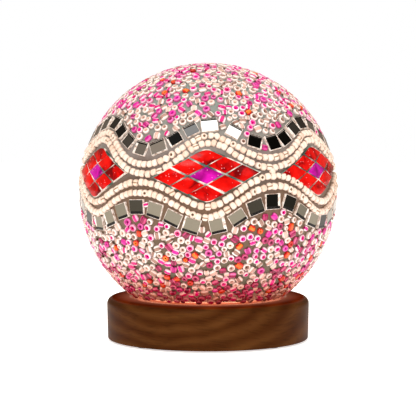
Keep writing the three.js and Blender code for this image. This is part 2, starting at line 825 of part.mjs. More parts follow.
// The adhesive bed under a diamond: a four-sided patch that follows the globe.
function diamondBed(centre) {
  const grid = new THREE.BoxGeometry(1, 1, bedHeight, tilesPerSide, tilesPerSide, 1);
  const position = grid.attributes.position;
  const margin = 1 - tileGap / 2 / tileInradius / tilesPerSide;
  for (let i = 0; i < position.count; i += 1) {
    const [u, v] = [position.getX(i) * margin, position.getY(i) * margin];
    const lon = (centre + (u - v) * diamondHalfLongitude) * degree;
    const lat = (waistLatitude + (u + v) * diamondHalfLatitude) * degree;
    const radius = bedInner + bedHeight / 2 + position.getZ(i);
    const across = radius * Math.cos(lat);
    position.setXYZ(i, across * Math.sin(lon), -across * Math.cos(lon), globeCentre + radius * Math.sin(lat));
  }
  return grid;
}

for (let k = 0; k < repeatCount; k += 1) {
  const centre = 360 * k / repeatCount;
  const redTiles = [];
  for (const i of [-1, 0, 1]) {
    for (const j of [-1, 0, 1]) {
      if (i === 0 && j === 0) continue;
      const longitude = centre + (i - j) * diamondHalfLongitude / tilesPerSide;
      const latitude = waistLatitude + (i + j) * diamondHalfLatitude / tilesPerSide;
      redTiles.push(placeOnGlobe(tilePlate(tileGap / 2, tileFoot, skinOuter), longitude, latitude));
    }
  }
  const middleHole = placeOnGlobe(tilePlate(0.05, glassRadius - 1, skinOuter + 1), centre, waistLatitude);
  const diamond = cut(join([diamondBed(centre), ...redTiles]), [middleHole]);
  addPiece(`red_diamond_${k + 1}`, diamond, finish.redGlass);
  const heart = placeOnGlobe(tilePlate(tileGap / 2, skinInner, skinOuter), centre, waistLatitude);
  addPiece(`magenta_tile_${k + 1}`, heart, finish.magentaGlass);
}

export default lamp;
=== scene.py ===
import bmesh
import bpy
import math
import random
from mathutils import Matrix, Vector


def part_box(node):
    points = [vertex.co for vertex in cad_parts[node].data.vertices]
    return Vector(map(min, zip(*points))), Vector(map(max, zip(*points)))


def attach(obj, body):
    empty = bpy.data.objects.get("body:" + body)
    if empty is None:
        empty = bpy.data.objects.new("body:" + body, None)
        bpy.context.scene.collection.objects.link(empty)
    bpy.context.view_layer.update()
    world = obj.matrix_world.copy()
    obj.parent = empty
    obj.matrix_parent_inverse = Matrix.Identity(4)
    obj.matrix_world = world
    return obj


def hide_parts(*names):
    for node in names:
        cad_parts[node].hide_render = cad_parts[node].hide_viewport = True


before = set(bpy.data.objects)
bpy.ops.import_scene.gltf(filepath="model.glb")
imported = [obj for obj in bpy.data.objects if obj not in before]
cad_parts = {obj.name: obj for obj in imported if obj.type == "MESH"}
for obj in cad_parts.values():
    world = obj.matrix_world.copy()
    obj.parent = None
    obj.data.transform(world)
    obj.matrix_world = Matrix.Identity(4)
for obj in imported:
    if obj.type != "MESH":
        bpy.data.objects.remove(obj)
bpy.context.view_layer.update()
mm = 0.001
dice = random.Random(41)


# Camera first: a long lens a little above the middle of the globe, looking slightly down
cameraView = {"distance": 1400 * mm, "height": 195.3 * mm, "downTilt": 4.63, "lens": 195.8, "sensor": 36}


def addCamera():
    view = bpy.data.cameras.new("camera")
    view.lens = cameraView["lens"]
    view.sensor_width = cameraView["sensor"]
    view.clip_end = 20
    camera = bpy.data.objects.new("camera", view)
    camera.location = (0, -cameraView["distance"], cameraView["height"])
    camera.rotation_euler = (math.radians(90 - cameraView["downTilt"]), 0, 0)
    bpy.context.collection.objects.link(camera)
    bpy.context.scene.camera = camera


addCamera()
print("camera placed")


# Small helpers for finishes

def linear(hexColour, alpha=1.0):
    parts = [int(hexColour[i:i + 2], 16) / 255 for i in (1, 3, 5)]
    return [p / 12.92 if p <= 0.04045 else ((p + 0.055) / 1.055) ** 2.4 for p in parts] + [alpha]


def newMaterial(name):
    material = bpy.data.materials.new(name)
    material.use_nodes = True
    material.node_tree.nodes.clear()
    return material


def add(material, kind, inputs=None, stops=None, **settings):
    # one node, with its settings, ramp stops and linked or plain inputs
    tree = material.node_tree
    made = tree.nodes.new("ShaderNode" + kind)
    for key, value in settings.items():
        setattr(made, key, value)
    if stops:
        ramp = made.color_ramp
        while len(ramp.elements) < len(stops):
            ramp.elements.new(0.5)
        for element, (place, colour) in zip(ramp.elements, stops):
            element.position = place
            element.color = linear(colour) if isinstance(colour, str) else (colour, colour, colour, 1)
    for key, value in (inputs or {}).items():
        socket = made.inputs[key]
        if isinstance(value, bpy.types.NodeSocket):
            tree.links.new(value, socket)
        else:
            socket.default_value = linear(value) if isinstance(value, str) else value
    return made.outputs


def noise(m, place, scale, detail):
    return add(m, "TexNoise", {"Vector": place, "Scale": scale, "Detail": detail})["Fac"]


def between(m, value, low, high):
    # a value of 0 to 1 brought into the range low to high
    return add(m, "MapRange", {"Value": value, "To Min": low, "To Max": high})["Result"]


def blend(m, share, first, second, how="MIX"):
    return add(m, "Mix", {"Factor": share, "A": first, "B": second}, data_type="RGBA", blend_type=how)[2]


def bumps(m, height, strength, distance):
    return add(m, "Bump", {"Height": height, "Strength": strength, "Distance": distance})["Normal"]


def close(material, inputs):
    # a principled shader with these inputs becomes the surface
    shader = add(material, "BsdfPrincipled", inputs)["BSDF"]
    add(material, "OutputMaterial", {"Surface": shader})
    return material


# Finishes

def footGlowMask(m, place, upper):
    # 1 at the glass foot, where lamplight leaks out, fading to 0 at the given height in mm
    height = add(m, "SeparateXYZ", {"Vector": place})["Z"]
    return add(m, "MapRange", {"Value": height, "From Min": upper * mm, "From Max": 28 * mm},
               interpolation_type="SMOOTHSTEP")["Result"]


def glueAndContactShade(m, colour, strength):
    # the thin brown line of glue round a bead's foot, deepened as painted contact shade where the bead meets
    # the glass and its neighbours
    rim = add(m, "Attribute", attribute_name="rim")["Fac"]
    share = add(m, "MapRange", {"Value": rim, "From Min": 0.45, "From Max": 1.0,
                                "To Max": strength})["Result"]
    return blend(m, share, colour, "#7d4c38", "MULTIPLY")


def seedBeadGlass(name, outside, outsideAlt, lining, liningAlt, glow=0.0):
    # lined crystal seed beads: shiny pale glass with the lining's colour in the hole and along the axis
    m = newMaterial(name)
    island = add(m, "NewGeometry")["Random Per Island"]
    core = add(m, "Attribute", attribute_name="core")["Fac"]
    place = add(m, "TexCoord")["Object"]
    cloud = noise(m, place, 700.0, 2.0)
    pale = blend(m, island, outside, outsideAlt)
    shifted = add(m, "Math", {0: island, 1: 7.31}, operation="MULTIPLY")[0]
    other = add(m, "Math", {0: shifted}, operation="FRACT")[0]
    strong = blend(m, other, lining, liningAlt)
    wobble = add(m, "Math", {0: cloud, 1: 0.5, 2: -0.25}, operation="MULTIPLY_ADD")[0]
    edge = add(m, "Math", {0: core, 1: wobble}, operation="ADD")[0]
    share = add(m, "ValToRGB", {"Fac": edge}, stops=[(0.22, 0.0), (0.36, 1.0)])["Color"]
    plain = blend(m, share, pale, strong)
    # painted glow: beads near the foot are tinted peach as if lit by lamplight leaking out under the globe
    footGlow = footGlowMask(m, place, 60)
    glowTinted = blend(m, footGlow, plain, "#e29680", "MULTIPLY")
    colour = glueAndContactShade(m, glowTinted, 0.4)
    rough = between(m, cloud, 0.06, 0.2)
    bump = bumps(m, cloud, 0.12, 0.0004)
    # painted glow: emission near the foot as if from that lamplight, plus the given glow for kinds that shine
    # with no lamp in them
    lit = add(m, "Math", {0: footGlow, 1: 0.08, 2: glow}, operation="MULTIPLY_ADD")[0]
    return close(m, {
        "Base Color": colour, "Roughness": rough, "IOR": 1.52, "Specular IOR Level": 0.5,
        "Normal": bump, "Emission Color": colour, "Emission Strength": lit,
    })


def creamBeadGlass():
    # opaque cream glass, glossy, with painted shade in the holes that show and along some beads' axes, and
    # painted warm shade where the beads touch
    m = newMaterial("opaqueCreamBeadGlass")
    island = add(m, "NewGeometry")["Random Per Island"]
    core = add(m, "Attribute", attribute_name="core")["Fac"]
    place = add(m, "TexCoord")["Object"]
    cloud = noise(m, place, 500.0, 3.0)
    pale = add(m, "ValToRGB", {"Fac": island},
               stops=[(0.0, "#fcebdc"), (0.7, "#f7e1d1"), (1.0, "#ebcfba")])["Color"]
    # painted shade: where core marks a hole, or a hole seen along the axis, the cream is darkened to brown
    shade = add(m, "ValToRGB", {"Fac": core}, stops=[(0.6, 0.0), (0.85, 1.0)])["Color"]
    plain = blend(m, shade, pale, "#a48568")
    colour = glueAndContactShade(m, plain, 0.3)
    rough = between(m, cloud, 0.12, 0.3)
    bump = bumps(m, cloud, 0.1, 0.0004)
    return close(m, {
        "Base Color": colour, "Roughness": rough, "IOR": 1.52, "Specular IOR Level": 0.4,
        "Normal": bump,
    })


def mirrorSilver():
    # silvered back of cut mirror, with a painted reflection: each tile catches a different part of the room,
    # set into its colour as a share of light, warmer on the lower tiles and cooler on the upper
    m = newMaterial("silveredMirror")
    place = add(m, "TexCoord")["Object"]
    paintedReflection = add(m, "Attribute", attribute_name="paintedReflection")["Fac"]
    grain = noise(m, place, 260.0, 3.0)
    height = add(m, "SeparateXYZ", {"Vector": place})["Z"]
    # painted reflection hue: warmer below about 0.1 m, cooler above
    low = add(m, "MapRange", {"Value": height, "From Min": 0.09, "From Max": 0.11})["Result"]
    cool = blend(m, low, "#cfc6b0", "#dfe4e6")
    colour = blend(m, 1.0, cool, paintedReflection, "MULTIPLY")
    rough = between(m, grain, 0.04, 0.14)
    bump = bumps(m, grain, 0.05, 0.0003)
    return close(m, {
        "Base Color": colour, "Metallic": 1.0, "Roughness": rough, "Normal": bump,
    })


def tileEdgeGlass():
    # ground and snapped edges of mirror glass, bright and slightly rosy
    m = newMaterial("cutGlassEdge")
    place = add(m, "TexCoord")["Object"]
    chips = noise(m, place, 600.0, 4.0)
    colour = add(m, "ValToRGB", {"Fac": chips},
                 stops=[(0.3, "#8d7464"), (0.46, "#e8d6ca"), (0.6, "#fffaf4")])["Color"]
    bump = bumps(m, chips, 0.3, 0.0004)
    return close(m, {
        "Base Color": colour, "Roughness": 0.18, "IOR": 1.52, "Normal": bump,
    })


def darkSeam():
    # the silvering seen edge on through the thickness of the glass, with painted shadow along the tile's
    # outward edge
    m = newMaterial("silveringEdgeAndShadow")
    place = add(m, "TexCoord")["Object"]
    flecks = noise(m, place, 900.0, 2.0)
    colour = add(m, "ValToRGB", {"Fac": flecks},
                 stops=[(0.35, "#0e0c0b"), (0.62, "#1d1a18"), (0.8, "#4b4239")])["Color"]
    rough = between(m, flecks, 0.15, 0.4)
    bump = bumps(m, flecks, 0.2, 0.0003)
    return close(m, {
        "Base Color": colour, "Roughness": rough, "Specular IOR Level": 0.12, "Normal": bump,
    })


def streakyGlass(name, dark, middle, bright):
    # streaky cathedral glass with a few seeds in it and a soft light from behind
    m = newMaterial(name)
    place = add(m, "TexCoord")["Object"]
    island = add(m, "NewGeometry")["Random Per Island"]
    clouds = add(m, "TexNoise", {"Vector": place, "Scale": 110.0, "Detail": 3.0, "Distortion": 0.6})["Fac"]
    lifted = add(m, "Math", {0: island, 1: 0.16, 2: -0.08}, operation="MULTIPLY_ADD")[0]
    mottled = add(m, "Math", {0: clouds, 1: lifted}, operation="ADD")[0]
    base = add(m, "ValToRGB", {"Fac": mottled}, stops=[(0.36, dark), (0.5, middle), (0.68, bright)])["Color"]
    seeds = add(m, "TexVoronoi", {"Vector": place, "Scale": 420.0})["Distance"]
    sparks = add(m, "ValToRGB", {"Fac": seeds}, stops=[(0.07, 1.0), (0.13, 0.0)])["Color"]
    colour = blend(m, sparks, base, "#ffb0b8")
    rough = between(m, clouds, 0.06, 0.2)
    bump = bumps(m, clouds, 0.25, 0.0006)
    return close(m, {
        "Base Color": colour, "Roughness": rough, "IOR": 1.52, "Specular IOR Level": 0.08, "Normal": bump,
        "Emission Color": base, "Emission Strength": 0.06,
    })


def beddingGlaze():
    # glass edges and glue between the red tiles: white where the light catches, sea grey elsewhere
    m = newMaterial("tileBedding")
    place = add(m, "TexCoord")["Object"]
    patches = noise(m, place, 130.0, 2.0)
    colour = add(m, "ValToRGB", {"Fac": patches},
                 stops=[(0.4, "#35584f"), (0.51, "#80998f"), (0.6, "#fff4ea")])["Color"]
    bump = bumps(m, patches, 0.3, 0.0005)
    rough = between(m, patches, 0.2, 0.4)
    return close(m, {
        "Base Color": colour, "Roughness": rough, "IOR": 1.47, "Normal": bump,
    })


def clearAdhesive():
    # dried clear glue over glass, with painted light by height: cool grey above, where light falls on it, and
    # olive below in painted shade
    m = newMaterial("driedClearAdhesive")
    place = add(m, "TexCoord")["Object"]
    height = add(m, "SeparateXYZ", {"Vector": place})["Z"]
    clouds = noise(m, place, 90.0, 4.0)
    climb = add(m, "MapRange", {"Value": height, "From Min": 30 * mm, "From Max": 165 * mm})["Result"]
    patch = add(m, "Math", {0: clouds, 1: 0.22, 2: -0.11}, operation="MULTIPLY_ADD")[0]
    mixed = add(m, "Math", {0: climb, 1: patch}, operation="ADD")[0]
    body = add(m, "ValToRGB", {"Fac": mixed}, stops=[
        (0.0, "#5c5442"), (0.2, "#6c5e4a"), (0.42, "#745a46"),
        (0.58, "#70625a"), (0.68, "#8c8480"), (0.95, "#84968f"),
    ])["Color"]
    # painted glow: the glue near the foot is tinted and lit as if by lamplight leaking out under the globe
    footGlow = footGlowMask(m, place, 37)
    colour = blend(m, footGlow, body, "#e09a80")
    lit = add(m, "Math", {0: footGlow, 1: 0.3}, operation="MULTIPLY")[0]
    rough = between(m, clouds, 0.15, 0.4)
    bump = bumps(m, clouds, 0.35, 0.001)
    return close(m, {
        "Base Color": colour, "Roughness": rough, "IOR": 1.47, "Specular IOR Level": 0.3, "Normal": bump,
        "Emission Color": colour, "Emission Strength": lit,
    })


def varnishedWalnut():
    # flat-sawn walnut: low arcs of growth rings dipping left of the middle, satin side, and a glossy
    # top, painted redder as if lit by the lamplight and beads above it, with a painted glow where lamplight
    # spills out around the glass
    m = newMaterial("varnishedWalnut")
    place = add(m, "TexCoord")["Object"]
    facing = add(m, "SeparateXYZ", {"Vector": add(m, "NewGeometry")["Normal"]})["Z"]
    top = add(m, "MapRange", {"Value": facing, "From Min": 0.75, "From Max": 0.98})["Result"]
    turned = add(m, "Mapping", {"Vector": place, "Location": (0.011, 0.0, -0.05),
                                "Rotation": (0.0, -0.1, 0.0), "Scale": (0.55, 0.3, 1.0)})["Vector"]
    drift = add(m, "TexNoise", {"Vector": turned, "Scale": 32.0, "Detail": 2.0})["Color"]
    bent = blend(m, 0.014, turned, drift, "ADD")
    rings = add(m, "TexWave", {"Vector": bent, "Scale": 36.0, "Distortion": 2.6, "Detail": 2.0,
                               "Detail Scale": 0.9}, wave_type="RINGS", rings_direction="Y")["Fac"]
    broad = noise(m, bent, 70.0, 3.0)
    stretched = add(m, "Mapping", {"Vector": bent, "Scale": (150.0, 700.0, 900.0)})["Vector"]
    pores = noise(m, stretched, 1.0, 2.0)
    grain = blend(m, 0.58, rings, broad)
    side = add(m, "ValToRGB", {"Fac": grain}, stops=[
        (0.1, "#3b1b06"), (0.38, "#47260c"), (0.62, "#502e12"), (0.88, "#5c3818"),
    ])["Color"]
    # painted light: the top is given redder, brighter browns than the side, as if lit by the lamplight and
    # beads above it
    crown = add(m, "ValToRGB", {"Fac": grain}, stops=[
        (0.12, "#501a04"), (0.45, "#642406"), (0.8, "#78300c"),
    ])["Color"]
    colour = blend(m, top, side, crown)
    darkPores = add(m, "ValToRGB", {"Fac": pores}, stops=[(0.34, 0.78), (0.5, 1.0)])["Color"]
    poured = blend(m, 1.0, colour, darkPores, "MULTIPLY")
    satin = between(m, pores, 0.36, 0.5)
    rough = add(m, "Mix", {"Factor": top, "A": satin, "B": 0.2}, data_type="FLOAT")[0]
    across = add(m, "VectorMath", {0: place, 1: (1.0, 1.0, 0.0)}, operation="MULTIPLY")[0]
    radius = add(m, "VectorMath", {0: across}, operation="LENGTH")[1]
    # painted glow of lamplight spilling onto the top round the glass
    spill = add(m, "MapRange", {"Value": radius, "From Min": 60 * mm, "From Max": 43 * mm, "To Max": 0.3},
                interpolation_type="SMOOTHSTEP")["Result"]
    lit = add(m, "Math", {0: spill, 1: top}, operation="MULTIPLY")[0]
    varnish = add(m, "MapRange", {"Value": radius, "From Min": 49 * mm, "From Max": 45 * mm,
                                  "To Max": 0.2})["Result"]
    shine = add(m, "Mix", {"Factor": top, "A": 0.02, "B": varnish}, data_type="FLOAT")[0]
    bump = bumps(m, pores, 0.06, 0.0004)
    return close(m, {
        "Base Color": poured, "Roughness": rough, "Specular IOR Level": shine, "Normal": bump,
        "Emission Color": "#e8886a", "Emission Strength": lit,
    })


def plainFinish(name, colour, colourAlt, roughness, metallic=0.0, grainSize=1.5, ior=1.46, bumpHeight=0.1):
    # moulded, plated or brushed stock: a little variation in tone and gloss at the given grain in mm
    m = newMaterial(name)
    place = add(m, "TexCoord")["Object"]
    grain = noise(m, place, 1000.0 / grainSize, 3.0)
    tone = blend(m, grain, colour, colourAlt)
    rough = between(m, grain, roughness * 0.8, roughness * 1.2)
    bump = bumps(m, grain, bumpHeight, 0.0002)
    inputs = {"Base Color": tone, "Roughness": rough, "Normal": bump}
    if metallic:
        inputs["Metallic"] = metallic
    else:
        inputs["IOR"] = ior
    return close(m, inputs)


def paleFloor():
    # white studio floor, lit from below so that it stays white to the horizon
    m = newMaterial("paleFloor")
    place = add(m, "TexCoord")["Object"]
    grain = noise(m, place, 25.0, 2.0)
    tone = blend(m, grain, "#ffffff", "#fafafa")
    return close(m, {
        "Base Color": tone, "Roughness": 0.7, "Specular IOR Level": 0.1,
        "Emission Color": tone, "Emission Strength": 0.68,
    })


def blownClearGlass():
    # thin blown glass with faint waves, tinted peach with a painted glow as if lit by the lamp inside
    m = newMaterial("blownClearGlass")
    place = add(m, "TexCoord")["Object"]
    waves = noise(m, place, 60.0, 2.0)
    tone = blend(m, waves, "#ffd0b8", "#ffe4d6")
    rough = between(m, waves, 0.03, 0.1)
    bump = bumps(m, waves, 0.1, 0.0006)
    return close(m, {
        "Base Color": tone, "Roughness": rough, "IOR": 1.5, "Transmission Weight": 0.85, "Normal": bump,
        "Emission Color": "#f0a888", "Emission Strength": 0.3,
    })


finishes = {
    "whiteBeads": seedBeadGlass("linedCrystalIvory", "#fffbf6", "#ffeee6", "#8e6656", "#f4cdbe"),
    "pinkBeads": seedBeadGlass("linedCrystalPink", "#fff2f6", "#fab0d2", "#f0089c", "#cc0468", 0.05),
    "magentaBeads": seedBeadGlass("dyedMagentaGlass", "#f47cc4", "#dc1c8c", "#96044c", "#dc10a4", 0.05),
    "plumBeads": seedBeadGlass("dyedPlumGlass", "#e86a9c", "#c02468", "#7c0438", "#a40c54"),
    # the orange beads' paler yellow-orange lining is a painted glint in the hole
    "orangeBeads": seedBeadGlass("dyedOrangeGlass", "#e82c04", "#d60c04", "#c01004", "#f8800c", 0.03),
    "creamBeads": creamBeadGlass(),
    "silver": mirrorSilver(),
    "tileEdge": tileEdgeGlass(),
    "seam": darkSeam(),
    "redGlass": streakyGlass("streakyRedGlass", "#6a0206", "#c40806", "#de120c"),
    "magentaGlass": streakyGlass("streakyMagentaGlass", "#6e0654", "#a80a88", "#cc16aa"),
    "bedding": beddingGlaze(),
    "adhesive": clearAdhesive(),
    "walnut": varnishedWalnut(),
    "glass": blownClearGlass(),
    # parts let into the base: translucent ring painted warm orange as lamplight shining through it, milky
    # dome, soft metals, dull plastics and rubber
    "silicone": plainFinish("clearSilicone", "#f0b090", "#e89a78", 0.35, grainSize=2.0),
    "opal": plainFinish("opalAcrylic", "#f7f2ea", "#efe8dc", 0.35, grainSize=6.0),
    "brass": plainFinish("brushedBrass", "#caa55a", "#b98f42", 0.3, metallic=1.0, grainSize=0.6),
    "steel": plainFinish("zincPlatedSteel", "#c2c4c8", "#a8abb0", 0.3, metallic=1.0, grainSize=0.8),
    "nickel": plainFinish("brushedNickel", "#d4d2cc", "#bcb9b2", 0.25, metallic=1.0, grainSize=0.5),
    "blackPlastic": plainFinish("mouldedBlackAbs", "#1b1b1d", "#27272a", 0.5, grainSize=0.5),
    "rubber": plainFinish("mouldedRubber", "#171718", "#232324", 0.75, grainSize=0.7, ior=1.52),
    "board": plainFinish("whiteSolderMask", "#e9ece8", "#dde1dc", 0.35, grainSize=1.2),
    "driver": plainFinish("greenSolderMask", "#175436", "#1d6a43", 0.35, grainSize=1.2),
    "ferrite": plainFinish("darkFerrite", "#2a2a2c", "#3a3a3c", 0.6, grainSize=0.8),
    "led": plainFinish("phosphorResin", "#f6da86", "#f2cf6c", 0.3, grainSize=0.8),
    "lead": plainFinish("redPvc", "#a31f1f", "#8c1818", 0.45, grainSize=1.0),
}
print("finishes made")


# Mesh helpers

def addPiece(name, bm, finish, body, replaced=(), sharpFrom=38):
    # smooth shading, with edges that turn more than sharpFrom degrees kept crisp
    mesh = bpy.data.meshes.new(name)
    for face in bm.faces:
        face.smooth = True
    bm.to_mesh(mesh)
    bm.free()
    mesh.set_sharp_from_angle(angle=math.radians(sharpFrom))
    mesh.materials.append(finishes[finish])
    piece = bpy.data.objects.new(name, mesh)
    bpy.context.collection.objects.link(piece)
    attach(piece, body)
    if replaced:
        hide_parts(*replaced)
    return piece


def spinProfile(bm, points, steps):
    # a chain of (radius, height) points turned a full round about Z
    corners = [bm.verts.new((radius, 0, height)) for radius, height in points]
    edges = [bm.edges.new(pair) for pair in zip(corners, corners[1:])]
    bmesh.ops.spin(bm, geom=corners + edges, cent=(0, 0, 0), axis=(0, 0, 1), angle=2 * math.pi,
                   steps=steps, use_merge=True)
    bmesh.ops.remove_doubles(bm, verts=bm.verts[:], dist=1e-6)
    bmesh.ops.recalc_face_normals(bm, faces=bm.faces[:])


def arc(x, y, radius, start, end, steps):
    # points along an arc between two angles in degrees
    return [(x + radius * math.cos(math.radians(start + (end - start) * i / steps)),
             y + radius * math.sin(math.radians(start + (end - start) * i / steps)))
            for i in range(steps + 1)]


def addCopy(bm, template, place):
    # a copy of the template mesh, placed and joined to bm
    copy = template.copy()
    copy.transform(place)
    bm.from_mesh(copy)
    bpy.data.meshes.remove(copy)


# Places on the globe

globe = {"glassRadius": 77.3 * mm, "adhesive": 0.9 * mm, "skirt": -53.2, "waves": 6, "drift": 1.4}
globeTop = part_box("glass_globe")[1].z
globeCentre = Vector((0, 0, globeTop - globe["glassRadius"]))
degreeLength = globe["glassRadius"] * math.pi / 180


def onGlobe(longitude, latitude, turn=0.0, lift=0.0, tip=0.0):
    # frame with x east, y north and z out of the globe, turned in its own plane
    lon, lat = math.radians(longitude), math.radians(latitude)
    east = Vector((math.cos(lon), math.sin(lon), 0))
    out = Vector((math.cos(lat) * math.sin(lon), -math.cos(lat) * math.cos(lon), math.sin(lat)))
    north = out.cross(east)
    place = Matrix((east, north, out)).transposed().to_4x4()
    place.translation = globeCentre + out * (globe["glassRadius"] + lift)
    return place @ Matrix.Rotation(math.radians(turn), 4, "Z") @ Matrix.Rotation(math.radians(tip), 4, "X")


def handDrift(longitude):
    return globe["drift"] * math.sin(math.radians(3 * longitude))


def wave(middle, swing, peak=0.08):
    # a line of latitude that swings with the diamonds, sharper at their tops, wandering as handwork does
    def line(longitude):
        phase = math.radians(globe["waves"] * longitude)
        return middle + swing * (math.cos(phase) + peak * math.cos(2 * phase)) + handDrift(longitude)
    return line


def walk(line, pitch, spread, start, loose=None):
    # places once round the globe along a line, each with its slope and its share of the pitch;
    # loose holds how much more or less room the pieces of some numbers are given
    steps = 1440
    travelled, marks = 0.0, []
    for i in range(steps):
        longitude = 360 * i / steps
        rise = (line(longitude + 360 / steps) - line(longitude)) * degreeLength
        run = 360 / steps * degreeLength * math.cos(math.radians(line(longitude)))
        marks.append((travelled, longitude, math.degrees(math.atan2(rise, run))))
        travelled += math.hypot(rise, run)
    shares = [dice.uniform(1 - spread, 1 + spread) for i in range(round(travelled / pitch))]
    for number, factor in (loose or {}).items():
        shares[number] *= factor
    unit = travelled / sum(shares)
    reached, index, found = start * pitch, 0, []
    for share in shares:
        while index + 1 < steps and marks[index + 1][0] <= reached:
            index += 1
        longitude, slope = marks[index][1:]
        found.append((longitude, line(longitude), slope, share * unit / pitch))
        reached += share * unit
    return found


# Seed beads

# radii and lengths are in bead radii
bead = {"hole": 0.29, "halfLength": 0.85, "shoulder": 0.55, "segments": 8, "crown": 0.7}


def newBeadLayers(bm):
    return bm.verts.layers.float.new("core"), bm.verts.layers.float.new("rim")


def beadTemplate(name, lying):
    # a short glass tube with rounded rims; core marks where its lining shows, rim where glue creeps up and
    # painted contact shade falls
    bm = bmesh.new()
    hole, half, crown, shoulder = bead["hole"], bead["halfLength"], bead["crown"], bead["shoulder"]
    outline = [(hole, -half * 0.8), (hole, half * 0.8), (crown, half), (1.0, half * shoulder),
               (1.0, -half * shoulder), (crown, -half), (hole, -half * 0.8)]
    spinProfile(bm, outline, bead["segments"])
    core, rim = newBeadLayers(bm)
    for vert in bm.verts:
        radius = math.hypot(vert.co.x, vert.co.y)
        inHole = radius < hole + 0.05
        if lying:
            vert[core] = 1.0 if vert.co.x > 0.9 * radius or inHole else 0.0
            vert[rim] = 1.0 if vert.co.x < 0.1 else 0.6 if abs(vert.co.z) > 0.9 * half else 0.0
        else:
            vert[core] = 1.0 if inHole else 0.2 if radius < 0.9 else 0.0
            vert[rim] = 1.0 if radius > 0.9 else 0.0
    if lying:
        bmesh.ops.rotate(bm, verts=bm.verts[:], cent=(0, 0, 0), matrix=Matrix.Rotation(-math.pi / 2, 3, "Y"))
    for face in bm.faces:
        face.smooth = True
    mesh = bpy.data.meshes.new(name)
    bm.to_mesh(mesh)
    bm.free()
    return mesh


standingBead = beadTemplate("standingBead", False)
lyingBead = beadTemplate("lyingBead", True)


# two rows of cream beads follow each wave; a share of them shows an open hole or a hole along its axis, both
# in painted shade, or sits askew
bands = {
    "upper": [wave(18.56, 6.4, 0.1), wave(22.5, 5.98)],
    "lower": [wave(4.0, -5.66, 0.1), wave(-0.54, -5.75)],
    "pitch": 3.6 * mm, "radius": 2.22 * mm, "length": 1.74 * mm, "spread": 0.16, "wobble": 0.22,
    "straight": 0.95, "open": 0.07, "lined": 0.18, "openHeight": 1.9 * mm,
    "lift": 1.0 * mm, "linkLift": 1.4 * mm, "links": {"upper": [(29.6, 12.6)], "lower": []},
}


def layBand(side):
    # two rows, each bead turned along its line and as long as its share of the line
    bm = bmesh.new()
    newBeadLayers(bm)
    for row, line in enumerate(bands[side]):
        for longitude, latitude, slope, share in walk(line, bands["pitch"], bands["spread"], 0.5 * row):
            wide = bands["radius"] * dice.uniform(0.9, 1.03)
            turned = dice.uniform(-9, 9) if dice.random() < bands["straight"] else dice.uniform(50, 75)
            place = onGlobe(longitude, latitude + dice.uniform(-1, 1) * bands["wobble"], slope + turned,
                            globe["adhesive"] * 0.4 + bands["lift"])
            shape = Matrix.Diagonal((bands["length"] * share / bead["halfLength"], wide, wide * 0.9, 1))
            template = lyingCreamBead
            roll = dice.random()
            if roll < bands["open"]:
                template = standingBead
                place = place @ Matrix.Rotation(math.radians(dice.uniform(-35, 35)), 4, "Y")
                shape = Matrix.Diagonal((wide, wide, bands["openHeight"], 1))
            # these beads show their hole along the axis as a painted dark strip of shade
            elif roll < bands["lined"]:
                template = lyingBead
            addCopy(bm, template, place @ shape)
    for longitude, latitude in bands["links"][side]:
        addCopy(bm, lyingCreamBead, onGlobe(longitude, latitude, 80, bands["linkLift"])
                @ Matrix.Scale(bands["radius"] * 0.9, 4))
    addPiece(side + "CreamBand", bm, "creamBeads", "globe", [side + "_bead_band"], 180)


lyingCreamBead = beadTemplate("lyingCreamBead", True)
for item in lyingCreamBead.attributes["core"].data:
    item.value = 0.0
for side in ("upper", "lower"):
    layBand(side)
print("bead bands laid")


# cut mirror tiles: silver under glass, with the silvering seen edge on and painted shadow as dark strips past
# it
mirrors = {
    "upper": wave(28.8, 5.2, 0), "lower": wave(-6.4, -4.8, 0),
    "pitch": {"upper": 11.2 * mm, "lower": 12.0 * mm}, "start": {"upper": 0.1, "lower": 0.48},
    "loose": {"upper": {0: 1.34, 1: 1.2, 2: 1.0, 3: 0.86}, "lower": {-1: 1.28}},
    "width": (8.6, 10.2), "height": (8.6, 9.8), "thickness": 2.0 * mm, "bevel": 0.18 * mm,
    "rim": 0.3 * mm, "seam": 1.6 * mm, "seamDepth": 0.1 * mm, "silverDepth": 0.14 * mm,
    "bare": (0.0, 0.7, 1.5), "strips": {"upper": ((0.0, 0.3), (0.44, 1.0)), "lower": ((0.0, 1.0),)},
    # painted reflection: how much of the room each one shows, to the right of the front and then to its left
    "right": {"upper": (1.25, 1.15, 0.01, 0.01, 0.01, 0.1), "lower": (0.34, 0.32, 0.06, 0.01, 0.02, 0.22)},
    "left": {"upper": (0.22, 0.01, 0.8, 0.5, 0.2), "lower": (0.34, 0.34, 0.34, 0.08, 0.3)},
}
# where each mirror lies and its half sizes, so that the beads keep clear of it
tiles = {"upper": [], "lower": []}


def bevelledBox(width, height, depth, bevel):
    bm = bmesh.new()
    bmesh.ops.create_cube(bm, size=1.0)
    bmesh.ops.scale(bm, vec=(width, height, depth), verts=bm.verts[:])
    bmesh.ops.bevel(bm, geom=bm.edges[:], offset=bevel, segments=1, profile=0.5, affect="EDGES", material=-1)
    mesh = bpy.data.meshes.new("plate")
    bm.to_mesh(mesh)
    bm.free()
    return mesh


def mirrorReflectionShare(side, index, count):
    # painted reflection: the listed shares at the front, and dark or mid grey by chance round the rest
    if index < len(mirrors["right"][side]):
        return mirrors["right"][side][index]
    if count - index <= len(mirrors["left"][side]):
        return mirrors["left"][side][count - index - 1]
    roll = dice.random()
    if side == "upper":
        return 0.03 if roll < 0.4 else dice.uniform(0.12, 0.45)
    return 0.03 if roll < 0.25 else dice.uniform(0.28, 0.42)


